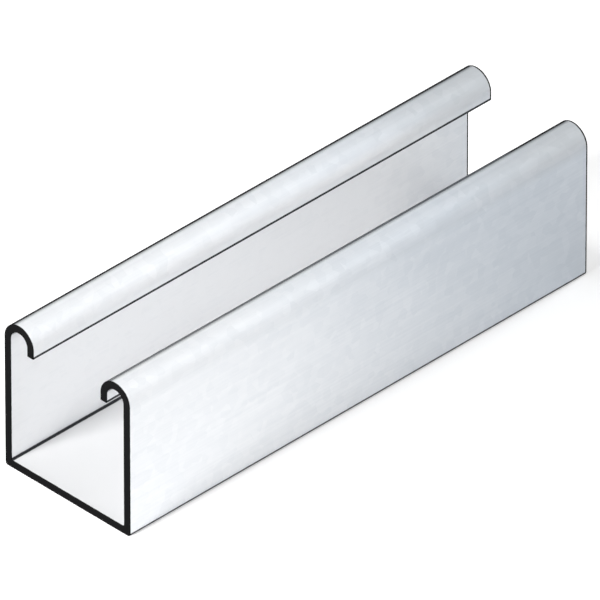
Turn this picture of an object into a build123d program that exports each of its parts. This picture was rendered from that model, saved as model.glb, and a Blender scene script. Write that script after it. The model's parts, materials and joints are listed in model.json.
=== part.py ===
from build123d import *
import os

# Strut channel: one strip of steel, roll-formed into a square trough. Each wall
# curls over at the top in a half round and comes back down inside as a lip, so
# that the two lips leave a slot along the whole length for channel nuts.
#
# Frame: X across the channel, Y along it and Z up, out of the slot. The origin
# is on the back of the web, at the middle of the length.

# Driving dimensions, in millimetres.
WIDTH = 41.3  # over the outsides of the two walls
HEIGHT = 41.3  # from the back of the web to the crests of the curls
LENGTH = 150.0  # as cut
GAUGE = 2.0  # thickness of the strip
SLOT = 22.2  # clear gap between the two lips
LIP_DEPTH = 7.1  # from the crest of a curl down to the slit edge of its lip
CORNER_OUTSIDE = 0.8  # radius on the back of the two tight corners
CORNER_INSIDE = 0.4  # radius in the crease of the same corners
SLIT_EDGE_ROUND = 0.3  # rolled-over edge of the strip, at the tips of the lips

# A curl runs from a wall's outside to its lip's face, so those two set its size.
CURL_RADIUS = (WIDTH - SLOT) / 4


def outer_face_of_strip():
    """Line along the strip's outer face, from the tip of one lip round to the other's."""
    wall_x = WIDTH / 2
    lip_x = SLOT / 2
    curl_z = HEIGHT - CURL_RADIUS
    crest = (wall_x - CURL_RADIUS, HEIGHT)
    with BuildLine() as face:
        Line((0, 0), (wall_x, 0))
        Line((wall_x, 0), (wall_x, curl_z))
        ThreePointArc((wall_x, curl_z), crest, (lip_x, curl_z))
        Line((lip_x, curl_z), (lip_x, HEIGHT - LIP_DEPTH))
        mirror(about=Plane.YZ)
    return face.wire()


def strip_section():
    """Cross-section of the strip: its outer face, thickened inwards by the gauge."""
    with BuildSketch() as section:
        with BuildLine():
            offset(outer_face_of_strip(), amount=GAUGE, side=Side.LEFT)
        make_face()
        # Lowest first: the back of the corners, their creases, then the lips' tips.
        backs, creases, tips = section.vertices().group_by(Axis.Y)[:3]
        fillet(backs, CORNER_OUTSIDE)
        fillet(creases, CORNER_INSIDE)
        fillet(tips, SLIT_EDGE_ROUND)
    return section.sketch


def channel():
    """The section run along Y, as the rolls draw it out, and cut square at both ends."""
    with BuildPart() as stock:
        with BuildSketch(Plane.XZ):
            add(strip_section())
        extrude(amount=LENGTH / 2, both=True)
    return stock.part


os.makedirs("parts", exist_ok=True)
export_step(channel(), "parts/channel.step")
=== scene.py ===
# %% [markdown]
# # A length of strut channel
#
# Strut channel is the steel rail that pipes, trays and shelves are hung from. It
# starts as one long strip of zinc-coated steel. Rollers fold the strip into a square
# trough and curl the top of each wall over and down again. A saw cuts it to length.
#
# The steel itself is already modelled to size, so this script dresses it: it breaks
# the sharp cut edges, builds the zinc finish, lays a floor, and sets lights and a
# camera. Read it from top to bottom. Each step first says what it is for.

# %% Open the model
import json
import math
import bpy
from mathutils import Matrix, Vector


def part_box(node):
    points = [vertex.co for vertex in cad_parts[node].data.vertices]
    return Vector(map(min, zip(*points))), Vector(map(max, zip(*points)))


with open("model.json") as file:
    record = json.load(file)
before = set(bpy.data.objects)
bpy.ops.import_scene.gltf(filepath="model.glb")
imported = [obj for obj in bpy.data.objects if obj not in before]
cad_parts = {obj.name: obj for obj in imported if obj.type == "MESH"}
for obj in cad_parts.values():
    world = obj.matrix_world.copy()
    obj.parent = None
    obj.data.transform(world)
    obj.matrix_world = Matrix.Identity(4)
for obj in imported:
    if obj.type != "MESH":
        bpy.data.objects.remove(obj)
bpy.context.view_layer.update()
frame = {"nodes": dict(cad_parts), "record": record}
channel = frame["nodes"]["channel"]

# %% [markdown]
# ## The sizes that the finish needs
#
# Blender works in metres here. The zinc looks different at a cut end, at the tip of
# a lip and in a crease, so the finish has to know where those are. They could be typed
# in as numbers, but then a wider channel would need every one of them changed. So they
# are read from the model: its box gives the outside, and its list of fixing places
# says how high the tips of the lips stand and how thick the strip is.

# %% Read the sizes
MM = 0.001
low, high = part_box("channel")
places = {place["name"]: place for place in frame["record"]["mounts"]}

half_width = high.x / MM
height = high.z / MM
half_length = high.y / MM
lip_tip = places["nut_track"]["pos_m"][2] / MM
gauge = 2 * places["near_cut_end"]["pos_m"][2] / MM
print(f"width {2 * half_width:.1f}, height {height:.1f}, length {2 * half_length:.0f} mm")
print(f"the lips' tips stand at {lip_tip:.1f} mm, and the strip is {gauge:.1f} mm thick")

# %% [markdown]
# ## Break the cut edges
#
# A saw leaves an edge that looks sharp, yet on real steel there is always a hair's
# width of rounding, and that is what catches the light. An edge with no width at all
# makes modelled steel look like paper.
#
# The rounding could be cut into the mesh by hand. Modifiers do it better here: the
# mesh stays as it came, and the width can still be changed afterwards.
# - Weld joins corner points that neighbouring faces don't share yet.
# - Decimate, in its planar mode, melts the triangles of each flat face into one face.
# - Bevel rounds every edge that turns by more than 60 degrees. Only the cut ends have
#   such edges, because each bend is made of many small turns.
# - Weighted Normal lets the big flat faces decide how light rolls round the bends.

# %% Round the cut edges
EDGE_BREAK = 0.12 * MM

weld = channel.modifiers.new("join the faces", "WELD")
weld.merge_threshold = 0.001 * MM

melt = channel.modifiers.new("melt flat triangles", "DECIMATE")
melt.decimate_type = "DISSOLVE"
melt.angle_limit = math.radians(0.5)

broken_edge = channel.modifiers.new("break the cut edges", "BEVEL")
broken_edge.width = EDGE_BREAK
broken_edge.segments = 2
broken_edge.limit_method = "ANGLE"
broken_edge.angle_limit = math.radians(60)

roll_light = channel.modifiers.new("roll the light over", "WEIGHTED_NORMAL")
roll_light.weight = 80

shown = channel.evaluated_get(bpy.context.evaluated_depsgraph_get())
print("faces before and after:", len(channel.data.polygons), len(shown.data.polygons))

# %% [markdown]
# ## A short way to write finishes
#
# A Blender finish is a net of nodes. Written out in full, every node takes four or
# five lines, and the idea of the finish drowns in them. `Net` keeps them short: each
# of its methods adds one node, plugs in what it is given, and hands back the socket to
# use next. A number can be given wherever a socket can. The sky is a net of nodes too,
# so the same helper serves it later.

# %% The helper
class Net:
    """A net of nodes, with short methods that add one node each."""

    def __init__(self, tree):
        self.tree = tree
        self.tree.nodes.clear()

    def node(self, kind, **settings):
        """A new node of the kind, with its settings made."""
        made = self.tree.nodes.new(kind)
        for setting, value in settings.items():
            setattr(made, setting, value)
        return made

    def plug(self, value, socket):
        """Links a socket into a socket, or writes a plain value there."""
        if isinstance(value, bpy.types.NodeSocket):
            self.tree.links.new(value, socket)
        else:
            socket.default_value = value

    def sums(self, operation, *values):
        """One step of arithmetic, named as Blender's Math node names it."""
        made = self.node("ShaderNodeMath", operation=operation)
        for value, socket in zip(values, made.inputs):
            self.plug(value, socket)
        return made.outputs[0]

    def most(self, *values):
        """The largest of the values. For masks it means one or the other."""
        so_far = values[0]
        for value in values[1:]:
            so_far = self.sums("MAXIMUM", so_far, value)
        return so_far

    def both(self, *values):
        """The values multiplied. For masks it means all of them at once."""
        so_far = values[0]
        for value in values[1:]:
            so_far = self.sums("MULTIPLY", so_far, value)
        return so_far

    def ramp(self, value, start, end, first=0.0, last=1.0):
        """Eases from first to last while value goes from start to end."""
        made = self.node("ShaderNodeMapRange", interpolation_type="SMOOTHSTEP")
        self.plug(value, made.inputs["Value"])
        self.plug(start, made.inputs["From Min"])
        self.plug(end, made.inputs["From Max"])
        self.plug(first, made.inputs["To Min"])
        self.plug(last, made.inputs["To Max"])
        return made.outputs["Result"]

    def near(self, distance, reach, softness):
        """A mask: 1 within reach and 0 beyond, with a soft step between."""
        return self.ramp(distance, reach + softness, reach - softness)

    def sway(self, pattern, span):
        """Makes a pattern of 0 to 1 sway about 0, by half the span each way."""
        return self.sums("MULTIPLY_ADD", pattern, span, -0.5 * span)

    def stretch(self, point, factors):
        """The point with each of its three numbers multiplied by its own factor."""
        made = self.node("ShaderNodeVectorMath", operation="MULTIPLY")
        self.plug(point, made.inputs[0])
        self.plug(factors, made.inputs[1])
        return made.outputs[0]

    def noise(self, point, per_mm, detail, roughness):
        """Smooth random values. Detail adds finer ones, roughness makes them stronger."""
        made = self.node("ShaderNodeTexNoise")
        self.plug(point, made.inputs["Vector"])
        self.plug(per_mm, made.inputs["Scale"])
        self.plug(detail, made.inputs["Detail"])
        self.plug(roughness, made.inputs["Roughness"])
        return made.outputs["Fac"]

    def blend(self, share, first, second, kind="RGBA"):
        """first where share is 0, second where it is 1. kind is RGBA or FLOAT."""
        made = self.node("ShaderNodeMix", data_type=kind)
        # The node holds sockets for every kind of value. These are the ones of each kind.
        first_in, second_in, out = {"FLOAT": (2, 3, 0), "RGBA": (6, 7, 2)}[kind]
        self.plug(share, made.inputs[0])
        self.plug(first, made.inputs[first_in])
        self.plug(second, made.inputs[second_in])
        return made.outputs[out]


def new_finish(name):
    """An empty finish, and the net to fill it with."""
    material = bpy.data.materials.new(name)
    material.use_nodes = True
    return material, Net(material.node_tree)


zinc_finish, zinc = new_finish("mill galvanised zinc")
print("started the finish:", zinc_finish.name)

# %% [markdown]
# ## Where is this point of the steel?
#
# Every pattern and every darker edge below is worked out from the point's own place
# on the channel. A picture wrapped round the shape would stretch at the bends and show
# a join. A place never does, and its patterns run on unbroken round a bend, as they
# do in real strip, which was coated while it was still flat.
#
# The place comes in metres, which makes small numbers, so it is turned into
# millimetres. A second copy is pressed flat along the length: a pattern made from it
# comes out as long streaks, which run the way the strip ran through the rollers.

# %% Places in millimetres
PRESS = 0.012

place = zinc.node("ShaderNodeTexCoord").outputs["Object"]
in_mm = zinc.stretch(place, (1 / MM, 1 / MM, 1 / MM))
pressed = zinc.stretch(in_mm, (1.0, PRESS, 1.0))

parts = zinc.node("ShaderNodeSeparateXYZ")
zinc.plug(in_mm, parts.inputs[0])
across, along, up = parts.outputs
from_middle = zinc.sums("ABSOLUTE", across)
print("the finish can now ask how far a point lies across, along and up")

# %% [markdown]
# ## The grain of the zinc
#
# Hot zinc freezes on the strip as flat crystals. On strut they are kept small, so they
# show as faint patches about 2 mm wide, each a touch lighter or darker and a touch
# glossier or duller. Three more things lie over them: fine streaks from the rollers,
# broad clouds where the coat has dulled, and specks of grit.
#
# Voronoi cells are the natural choice for crystals, since both grow from seeds until
# they meet. Noise makes the rest. All of it is kept faint: a strong pattern would look
# like camouflage, and it would hide the shape.

# %% Crystals, streaks, clouds and grit
CRYSTALS_PER_MM = 0.42

crystals = zinc.node("ShaderNodeTexVoronoi", feature="F1")
zinc.plug(in_mm, crystals.inputs["Vector"])
zinc.plug(CRYSTALS_PER_MM, crystals.inputs["Scale"])
crystal_parts = zinc.node("ShaderNodeSeparateColor")
zinc.plug(crystals.outputs["Color"], crystal_parts.inputs[0])
crystal = crystal_parts.outputs[0]
crystal_gloss = crystal_parts.outputs[1]

streak = zinc.noise(pressed, per_mm=1.4, detail=4.0, roughness=0.62)
cloud = zinc.noise(in_mm, per_mm=0.045, detail=3.0, roughness=0.55)
grit = zinc.noise(in_mm, per_mm=3.0, detail=2.0, roughness=0.6)
print("four patterns, from broad clouds of about 22 mm down to grit of 0.3 mm")

# %% [markdown]
# ## From lit zinc to painted shade
#
# Fresh zinc is nearly white, and in damp air it turns blue-grey. Here the blue-grey is
# painted shade: the colour darkens towards the top of the far right corner, as if the
# light fell off there. Across plus along plus height grows towards that corner, so it
# serves as the slope of the painted shade, and the clouds make its edge wander. Three
# more touches of painted light and shade go over it:
# - Inside the trough the painted shade is lifted, as painted light that makes up for
#   the shade of the lips, and least so near the open far end.
# - The left wall's outer face is painted darker all over, as painted shade that holds
#   down the front lamp's shine on it.
# - The crests of the two curls stand highest and catch the most shine. They are painted
#   a plain grey, as painted shade that holds their shine down, stronger towards the
#   far end.
#
# The painted shade runs from 0, lit, to 1, shaded. Making one number first, and mixing
# the colour from it at the end, keeps colour and gloss in step: the shaded zinc is
# rougher too. The crests' grey is a number of its own, because it has no blue in it.

# %% How much painted shade each point gets
LEAST_SHADE, MOST_SHADE = 0.30, 0.92
SHADE_FROM, SHADE_TO = -34.0, 94.0
CLOUD_REACH = 22.0

# Painted shade: darker towards the top of the far right corner, as if the light fell off
# there.
shade_slope = zinc.sums("ADD", across, along)
shade_slope = zinc.sums("ADD", shade_slope, zinc.sums("SUBTRACT", up, 0.5 * height))
shade_slope = zinc.sums("ADD", shade_slope, zinc.sway(cloud, CLOUD_REACH))
painted_shade_and_grain = zinc.ramp(shade_slope, SHADE_FROM, SHADE_TO, LEAST_SHADE, MOST_SHADE)
print(f"the tide rises over {SHADE_TO - SHADE_FROM:.0f} mm, from {LEAST_SHADE} to {MOST_SHADE}")

# %% Painted light inside the trough
INSIDE_LIGHT_AT_FAR_END = 0.24
INSIDE_LIGHT_STARTS, INSIDE_LIGHT_FULL = 1.5, 4.5

inside = zinc.sums("LESS_THAN", from_middle, half_width - 0.5 * gauge)
below_crest = zinc.ramp(up, height - INSIDE_LIGHT_STARTS, height - INSIDE_LIGHT_FULL)
# Painted light: inside the trough the painted shade is lifted, to make up for the shade of
# the lips, less of it near the far end.
inside_light_along = zinc.ramp(along, half_length, 0.5 * half_length, INSIDE_LIGHT_AT_FAR_END, 1.0)
painted_inside_light = zinc.both(inside, below_crest, inside_light_along)
painted_shade_and_grain = zinc.both(painted_shade_and_grain, zinc.sums("SUBTRACT", 1.0, painted_inside_light))
print("inside, the zinc stays fresh from", INSIDE_LIGHT_FULL, "mm below the top")

# %% Painted shade on the left wall's outer face
LEFT_SIDE_SHADE = 0.55

# Painted shade: the left wall's outer face is painted darker, to hold down the front lamp's
# shine on it.
outer_left = zinc.ramp(across, 1.0 - half_width, 0.2 - half_width)
painted_shade_and_grain = zinc.sums("ADD", painted_shade_and_grain, zinc.both(outer_left, LEFT_SIDE_SHADE))
print("the left wall's outer face is duller by", LEFT_SIDE_SHADE)

# %% Painted shade on the crests
CREST_STARTS, CREST_FULL = 7.3, 2.3
NEAR_CREST_SHADE, FAR_CREST_SHADE = 0.21, 0.62

crest = zinc.ramp(up, height - CREST_STARTS, height - CREST_FULL)
# Painted shade: the crests are painted a plain grey that holds down their shine, more so
# towards the far end.
more_from = 0.27 * half_length
crest_shade_along = zinc.ramp(along, more_from, half_length, NEAR_CREST_SHADE, FAR_CREST_SHADE)
shaded_down = zinc.both(crest, crest_shade_along)
print("the crests are handled by", NEAR_CREST_SHADE, "near and", FAR_CREST_SHADE, "at the far end")

# %% Colour and gloss of the zinc
# The lit zinc, the blue-grey of the painted shade, and the grey that the crests are painted
# down to.
LIT_ZINC = (0.955, 0.960, 0.970, 1.0)
SHADED_ZINC = (0.540, 0.586, 0.638, 1.0)
SHADED_CREST_ZINC = (0.440, 0.450, 0.455, 1.0)
PATCHES, STREAKS = 0.09, 0.26
SMOOTHEST = 0.32
ROUGHER_BY_CRYSTAL, ROUGHER_WITH_SHADE, ROUGHER_ON_CRESTS = 0.06, 0.10, 0.28

grain = zinc.sums("ADD", zinc.sway(crystal, PATCHES), zinc.sway(streak, STREAKS))
painted_shade_and_grain = zinc.sums("ADD", painted_shade_and_grain, grain)
# Painted shade: the lit zinc turns blue-grey as the painted shade grows, and grey on the
# crests.
zinc_colour = zinc.blend(painted_shade_and_grain, LIT_ZINC, SHADED_ZINC)
zinc_colour = zinc.blend(shaded_down, zinc_colour, SHADED_CREST_ZINC)

gloss = zinc.sums("MULTIPLY_ADD", crystal_gloss, ROUGHER_BY_CRYSTAL, SMOOTHEST)
# The painted shade and the grain make the zinc rougher as well.
gloss = zinc.sums("MULTIPLY_ADD", painted_shade_and_grain, ROUGHER_WITH_SHADE, gloss)
zinc_roughness = zinc.sums("MULTIPLY_ADD", crest, ROUGHER_ON_CRESTS, gloss)
print("zinc goes from", LIT_ZINC[:3], "to", SHADED_ZINC[:3])
print("hands turn it towards", SHADED_CREST_ZINC[:3])

# %% [markdown]
# ## Even rough metal shines at a glance
#
# Look along any sheet of metal, almost level with it, and it mirrors the room, however
# matt it is face on. On the round curls that happens in a narrow band at their outline,
# and it draws their edge. A plain roughness misses it, so on the curls the roughness
# drops where the surface turns away from the eye. Layer Weight says how far it has
# turned. It is used for nothing but gloss, because a colour shouldn't change with the
# viewpoint. The flat faces are left out: turned away, a whole wall would be a mirror.

# %% Gloss at a glance
MIRROR_ROUGHNESS = 0.06
GLANCE_FROM, GLANCE_TO = 0.46, 0.66

turning = zinc.node("ShaderNodeLayerWeight")
turning.inputs["Blend"].default_value = 0.5
turned_away = zinc.ramp(turning.outputs["Facing"], GLANCE_FROM, GLANCE_TO)
glance = zinc.both(crest, turned_away)
zinc_roughness = zinc.blend(glance, zinc_roughness, MIRROR_ROUGHNESS, "FLOAT")
print("roughness falls to", MIRROR_ROUGHNESS, "where a curl turns away")

# %% [markdown]
# ## Chalk on the web
#
# The web lies level inside the trough, so water stays on it longest. There the zinc
# turns to a pale salt, as matt as chalk. Bright metal would mirror both lamps in a low
# view along the trough and be lost in glare. Chalk scatters their light instead, up
# onto the walls beside it. It is darker than the zinc, since it shows all it receives.

# %% Chalk on the web
CHALK_REACH = 0.5

above_web = zinc.sums("SUBTRACT", up, gauge)
chalk = zinc.both(inside, zinc.near(above_web, CHALK_REACH, softness=0.3))
print("chalk reaches", CHALK_REACH, "mm up the walls")

# %% [markdown]
# ## Where the steel is dark, and where shade is painted
#
# Four places on the channel are dark. Two are dark in themselves, and two are painted
# shade:
# - The saw cuts through zinc and steel. The bare steel blackens, and the black wraps a
#   little way over the edge.
# - The tips of the lips are the edges of the strip. They were slit after coating, so
#   they are bare as well.
# - The crease of each bottom corner is painted dark, as painted shade where wall and
#   web meet.
# - The outside of the same corners is painted dark along its foot, as a painted contact
#   shadow where the channel meets the floor.
#
# Each is a mask: 1 where it is dark, 0 elsewhere, with a soft step between. All of
# them are distances from the sizes read above, so they follow the shape. They are a
# few tenths of a millimetre wide, too narrow to paint into a picture, and they outline
# the form. A ragged noise is added to each distance, so that none of these edges runs
# straight.

# %% Dark at the saw cuts
RAGGED_BY = 0.16
NEAR_BLACK, FAR_BLACK = 0.24, 0.46

ragged = zinc.sway(zinc.noise(in_mm, per_mm=1.1, detail=3.0, roughness=0.6), RAGGED_BY)
from_near_end = zinc.sums("SUBTRACT", zinc.sums("ADD", along, half_length), ragged)
from_far_end = zinc.sums("SUBTRACT", half_length, zinc.sums("ADD", along, ragged))
near_cut = zinc.near(from_near_end, NEAR_BLACK, softness=0.06)
far_cut = zinc.near(from_far_end, FAR_BLACK, softness=0.06)
saw_cut = zinc.most(near_cut, far_cut)
print("black reaches", NEAR_BLACK, "mm round the near end and", FAR_BLACK, "round the far")

# %% Dark at the tips of the lips
SLIT_DARK = 0.69

above_tip = zinc.sums("SUBTRACT", zinc.sums("ADD", up, ragged), lip_tip)
low_enough = zinc.near(above_tip, SLIT_DARK, softness=0.07)
not_below = zinc.sums("GREATER_THAN", up, lip_tip - 0.2)
on_lip = zinc.sums("LESS_THAN", from_middle, half_width - 2.4 * gauge)
slit_edge = zinc.both(low_enough, not_below, on_lip)
print("the slit edge is dark over its lowest", SLIT_DARK, "mm")

# %% Painted shade in and under the bottom corners
CREASE_DARK, FOOT_DARK = 0.51, 0.89

beside_crease = zinc.sums("SUBTRACT", from_middle, half_width - gauge)
squares = zinc.sums("MULTIPLY", beside_crease, beside_crease)
squares = zinc.sums("MULTIPLY_ADD", above_web, above_web, squares)
from_crease = zinc.sums("SQRT", squares)
# Painted shade: a dark line in the crease, where the wall meets the web.
crease_shade = zinc.near(zinc.sums("ADD", from_crease, ragged), CREASE_DARK, softness=0.11)

# Painted shade: a dark band along the foot of each outer wall, a painted contact shadow
# where it meets the floor.
on_side = zinc.ramp(from_middle, half_width - 0.75, half_width - 0.45)
at_foot = zinc.near(zinc.sums("ADD", up, ragged), FOOT_DARK, softness=0.10)
foot_shade = zinc.both(on_side, at_foot)

# The painted shade in crease and foot joins the bare slit edges in one mask.
shade_and_slit_edge = zinc.most(crease_shade, foot_shade, slit_edge)
print("masks: saw cut, slit edge, crease, foot")

# %% [markdown]
# ## Relief
#
# The crystals stand a few thousandths of a millimetre proud of each other, and the
# rollers leave fine lines. Neither could be modelled, and neither needs to be: Bump
# tilts the light as if the surface were uneven, and leaves the shape as it is. The
# saw leaves its own marks on the two ends, fine ridges across the steel.

# %% Bump
RELIEF_DEPTH = 0.05
RELIEF_STRENGTH = 0.12
CRYSTAL_RELIEF, STREAK_RELIEF, GRIT_RELIEF, SAW_RELIEF = 0.3, 0.8, 0.35, 2.0

ridges = zinc.stretch(in_mm, (0.15, 1.0, 6.0))
saw_marks = zinc.noise(ridges, per_mm=1.0, detail=2.0, roughness=0.5)
relief = zinc.sums("MULTIPLY", streak, STREAK_RELIEF)
relief = zinc.sums("MULTIPLY_ADD", crystal, CRYSTAL_RELIEF, relief)
relief = zinc.sums("MULTIPLY_ADD", grit, GRIT_RELIEF, relief)
relief = zinc.sums("MULTIPLY_ADD", zinc.both(saw_marks, saw_cut), SAW_RELIEF, relief)

bump = zinc.node("ShaderNodeBump")
zinc.plug(relief, bump.inputs["Height"])
zinc.plug(RELIEF_STRENGTH, bump.inputs["Strength"])
zinc.plug(RELIEF_DEPTH * MM, bump.inputs["Distance"])
print("relief:", RELIEF_DEPTH, "mm at a strength of", RELIEF_STRENGTH)

# %% [markdown]
# ## Put the finish together
#
# One surface node takes it all. The colour is zinc, then chalk over it, then one dark
# colour for the painted shade in the creases and at the feet and for the bare slit
# edges, then the bare cut over all of them. Bare steel is fully metal. The zinc counts
# as 0.7 metal, because its skin has already turned into a matt salt in places, which
# scatters light as chalk does. Hands have rubbed that skin off the crests, so those
# count as 0.9.
#
# Specular Tint is the colour that metal takes on where it is seen almost edge on. Black
# there keeps the curls' outline dark, and the more metal they have, the darker it gets.

# %% The surface
CHALK = (0.712, 0.716, 0.724, 1.0)
# One dark colour for the painted shade in creases and at the feet, and for the bare slit
# edges.
SHADE_AND_SLIT_COLOUR = (0.045, 0.047, 0.052, 1.0)
BARE_CUT = (0.005, 0.005, 0.0052, 1.0)
CHALK_METAL, ZINC_METAL, CREST_METAL, CUT_METAL = 0.2, 0.7, 0.9, 1.0
CHALK_ROUGHNESS, SHADE_AND_SLIT_ROUGHNESS, CUT_ROUGHNESS = 0.8, 0.6, 0.6

colour = zinc.blend(chalk, zinc_colour, CHALK)
# Painted shade in creases and at the feet, with the bare slit edges, goes over the colour.
colour = zinc.blend(shade_and_slit_edge, colour, SHADE_AND_SLIT_COLOUR)
colour = zinc.blend(saw_cut, colour, BARE_CUT)
roughness = zinc.blend(chalk, zinc_roughness, CHALK_ROUGHNESS, "FLOAT")
roughness = zinc.blend(shade_and_slit_edge, roughness, SHADE_AND_SLIT_ROUGHNESS, "FLOAT")
roughness = zinc.blend(saw_cut, roughness, CUT_ROUGHNESS, "FLOAT")
metallic = zinc.blend(crest, ZINC_METAL, CREST_METAL, "FLOAT")
metallic = zinc.blend(chalk, metallic, CHALK_METAL, "FLOAT")
metallic = zinc.blend(saw_cut, metallic, CUT_METAL, "FLOAT")

surface = zinc.node("ShaderNodeBsdfPrincipled")
zinc.plug(colour, surface.inputs["Base Color"])
zinc.plug(metallic, surface.inputs["Metallic"])
zinc.plug(roughness, surface.inputs["Roughness"])
zinc.plug(bump.outputs[0], surface.inputs["Normal"])
surface.inputs["Specular Tint"].default_value = (0.0, 0.0, 0.0, 1.0)

output = zinc.node("ShaderNodeOutputMaterial")
zinc.plug(surface.outputs[0], output.inputs[0])

channel.data.materials.clear()
channel.data.materials.append(zinc_finish)
print("nodes in the finish:", len(zinc.tree.nodes))

# %% [markdown]
# ## The studio: a white floor
#
# The channel lies on plain white, and its own soft shadow ties it to the floor. Paint
# can't get there alone: even the whitest reflects a little less than it receives. More
# light would, but it would burn out the steel as well. So the floor adds a faint glow
# of its own, only for rays that show the background: those that come straight from the
# eye, off shiny metal, or through something clear. The glow lights nothing.
#
# The lamps light the floor round the channel and leave the rest of it dim. A low view
# looks far across the floor and would show that as bands of grey. So the glow is faint
# near the channel and grows outwards, as far as the lamps' own light dies away.

# %% The rays that see the background
def sees_background(net):
    """1 for a ray that shows what lies behind, 0 for one that only brings light."""
    rays = net.node("ShaderNodeLightPath")
    return net.most(
        rays.outputs["Is Camera Ray"],
        rays.outputs["Is Glossy Ray"],
        rays.outputs["Is Transmission Ray"],
    )

# %% The floor
NEAR_GLOW, FAR_GLOW = 0.43, 0.88
GLOW_GROWS_FROM, GLOW_GROWS_TO = 0.25, 0.90
FLOOR_SIDE = 8.0

floor_finish, white = new_finish("studio floor")
matt = white.node("ShaderNodeBsdfDiffuse")
matt.inputs["Color"].default_value = (0.85, 0.85, 0.85, 1.0)

spot = white.node("ShaderNodeTexCoord").outputs["Object"]
reach = white.node("ShaderNodeVectorMath", operation="LENGTH")
white.plug(spot, reach.inputs[0])
strength = white.ramp(
    reach.outputs["Value"], GLOW_GROWS_FROM, GLOW_GROWS_TO, NEAR_GLOW, FAR_GLOW
)

glow = white.node("ShaderNodeEmission")
white.plug(white.both(sees_background(white), strength), glow.inputs["Strength"])
together = white.node("ShaderNodeAddShader")
white.plug(matt.outputs[0], together.inputs[0])
white.plug(glow.outputs[0], together.inputs[1])
white.plug(together.outputs[0], white.node("ShaderNodeOutputMaterial").inputs[0])

bpy.ops.mesh.primitive_plane_add(size=FLOOR_SIDE, location=(0, 0, 0))
floor = bpy.context.object
floor.name = "floor"
floor.data.materials.append(floor_finish)
print("floor laid at the height of the channel's underside:", low.z, "m")

# %% [markdown]
# ## Two black cards
#
# Shiny metal in an all-white studio loses its edges: they mirror white against white.
# Photographers stand black card just out of view, and the outline of the metal mirrors
# that instead. Here one card lies to the left of the channel, just above the floor, and
# a low one stands along its far side. Only mirror-like rays can meet them, so they
# throw no shadow, take no light from anything matt, and never show in the picture.

# %% The cards
felt_finish, felt = new_finish("black felt")
black = felt.node("ShaderNodeBsdfDiffuse")
black.inputs["Color"].default_value = (0.004, 0.004, 0.004, 1.0)
felt.plug(black.outputs[0], felt.node("ShaderNodeOutputMaterial").inputs[0])


def card(name, corners):
    """A black card that only mirror-like rays can meet."""
    mesh = bpy.data.meshes.new(name)
    mesh.from_pydata(corners, [], [(0, 1, 2, 3)])
    mesh.materials.append(felt_finish)
    made = bpy.data.objects.new(name, mesh)
    bpy.context.scene.collection.objects.link(made)
    made.visible_camera = False
    made.visible_diffuse = False
    made.visible_shadow = False
    made.visible_transmission = False
    return made


WEST, EAST = -0.60, -0.03
SOUTH, NORTH = -0.15, 0.60
JUST_ABOVE, TOP = 0.002, 0.09
lying = card("black card lying", [
    (WEST, SOUTH, JUST_ABOVE),
    (EAST, SOUTH, JUST_ABOVE),
    (EAST, NORTH, JUST_ABOVE),
    (WEST, NORTH, JUST_ABOVE),
])
standing = card("black card standing", [
    (WEST, SOUTH, JUST_ABOVE),
    (WEST, NORTH, JUST_ABOVE),
    (WEST, NORTH, TOP),
    (WEST, SOUTH, TOP),
])
print("cards:", lying.name, "and", standing.name)

# %% [markdown]
# ## The air of the studio
#
# The world is what a ray meets when it misses everything. As background, and in the
# mirror of the metal, it is white. For light that falls on matt surfaces it is dim, so
# that the lamps shape the form: an even white sky would leave the channel flat and
# would take away its shadow.

# %% The air
AMBIENT = 0.17

world = bpy.data.worlds.new("studio air")
world.use_nodes = True
bpy.context.scene.world = world
air = Net(world.node_tree)
sky = air.node("ShaderNodeBackground")
sky.inputs["Color"].default_value = (1.0, 1.0, 1.0, 1.0)
air.plug(air.most(sees_background(air), AMBIENT), sky.inputs["Strength"])
air.plug(sky.outputs[0], air.node("ShaderNodeOutputWorld").inputs[0])
print("the air is white to look at and lights with", AMBIENT)

# %% [markdown]
# ## Two softboxes
#
# A trough is hard to light. From above, its lips shade the walls, and the inside goes
# dark. So both lamps stand low, one beyond each open end, and shine along the trough.
# - The front one does most of the work. Light fades with distance, so the near end
#   comes out brighter than the far end, and the length reads at a glance.
# - The one behind is bigger, further off and weaker. It lifts the far end and lays a
#   soft shine along the crests.
#
# `softbox` takes a direction and a distance, as one would walk a lamp round the
# subject. `level` is how bright a white card would look that faced the lamp squarely
# at the spot it aims at, with 1 for white. The walls lie almost edge on to both lamps
# and catch only a small part of that, which is why the levels are above 1.

# %% A softbox
def softbox(name, azimuth, elevation, distance, about, aim, size, level):
    """A square lamp that stands off from one point and shines at another."""
    turn = math.radians(azimuth)
    rise = math.radians(elevation)
    sideways = math.sin(turn) * math.cos(rise)
    forwards = -math.cos(turn) * math.cos(rise)
    location = Vector(about) + distance * Vector((sideways, forwards, math.sin(rise)))
    throw = Vector(aim) - location

    lamp = bpy.data.lights.new(name, "AREA")
    lamp.shape = "SQUARE"
    lamp.size = size
    lamp.energy = level * math.pi ** 2 * throw.length_squared
    box = bpy.data.objects.new(name, lamp)
    bpy.context.scene.collection.objects.link(box)
    box.location = location
    box.rotation_euler = throw.to_track_quat("-Z", "Y").to_euler()
    print(f"{name}: {lamp.energy:.1f} W from {throw.length:.2f} m")
    return box

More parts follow.
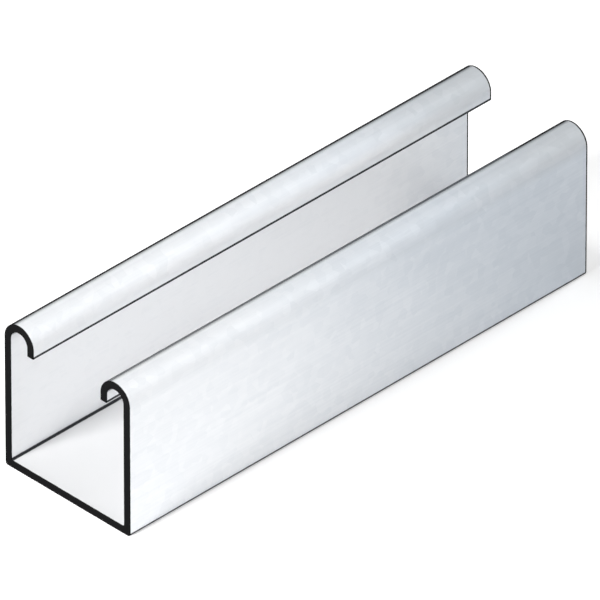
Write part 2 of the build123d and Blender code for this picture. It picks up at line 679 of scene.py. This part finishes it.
# %% The lamps
middle = (0, 0, 0.020)
near_end = (0, -half_length * MM, 0.020)
just_inside = (0, -0.6 * half_length * MM, 0.012)
softbox(
    "front softbox", azimuth=-7, elevation=4.5, distance=1.00,
    about=near_end, aim=just_inside, size=0.40, level=7.2,
)
softbox(
    "back softbox", azimuth=173, elevation=8, distance=1.20,
    about=middle, aim=middle, size=0.60, level=1.45,
)

# %% [markdown]
# ## The camera
#
# The channel is seen as on a technical drawing: from one corner, and down at the angle
# at which a cube's three faces look alike, about 35 degrees. Edges that are parallel
# stay parallel, or very nearly. An orthographic camera does that, but then nothing has
# any depth at all. A very long lens from far off looks almost the same and still is a
# real camera, so that is what is used: 1450 mm, from 5.6 m away. The target is shifted
# by about a millimetre, which sets the channel well in the frame.

# %% Place the camera
LENS_MM = 1450.0
DISTANCE = 5.627
SHIFT_RIGHT, SHIFT_UP = 0.559 * MM, -0.884 * MM

azimuth = math.radians(45.256)
elevation = math.radians(35.177)
right = Vector((math.cos(azimuth), math.sin(azimuth), 0.0))
back = Vector((
    math.sin(azimuth) * math.cos(elevation),
    -math.cos(azimuth) * math.cos(elevation),
    math.sin(elevation),
))
upward = back.cross(right)
target = Vector((0.0, 0.0, 0.5 * height * MM)) + SHIFT_RIGHT * right + SHIFT_UP * upward

lens = bpy.data.cameras.new("long lens")
lens.lens = LENS_MM
lens.sensor_width = 36.0
lens.clip_start = 0.5
lens.clip_end = 40.0
camera = bpy.data.objects.new("camera", lens)
bpy.context.scene.collection.objects.link(camera)
camera.location = target + DISTANCE * back
camera.rotation_mode = "QUATERNION"
camera.rotation_quaternion = (-back).to_track_quat("-Z", "Y")
bpy.context.scene.camera = camera
print("camera stands at", [round(value, 3) for value in camera.location])

# %% [markdown]
# ## The last step
#
# Blender can bend bright colours towards those of film. Standard leaves them as they
# are, so that the zinc comes out in the colour written for it. Rounding an edge only
# takes steel away, so the dressed channel is no bigger than the model.

# %% Set the view transform
bpy.context.scene.view_settings.view_transform = "Standard"
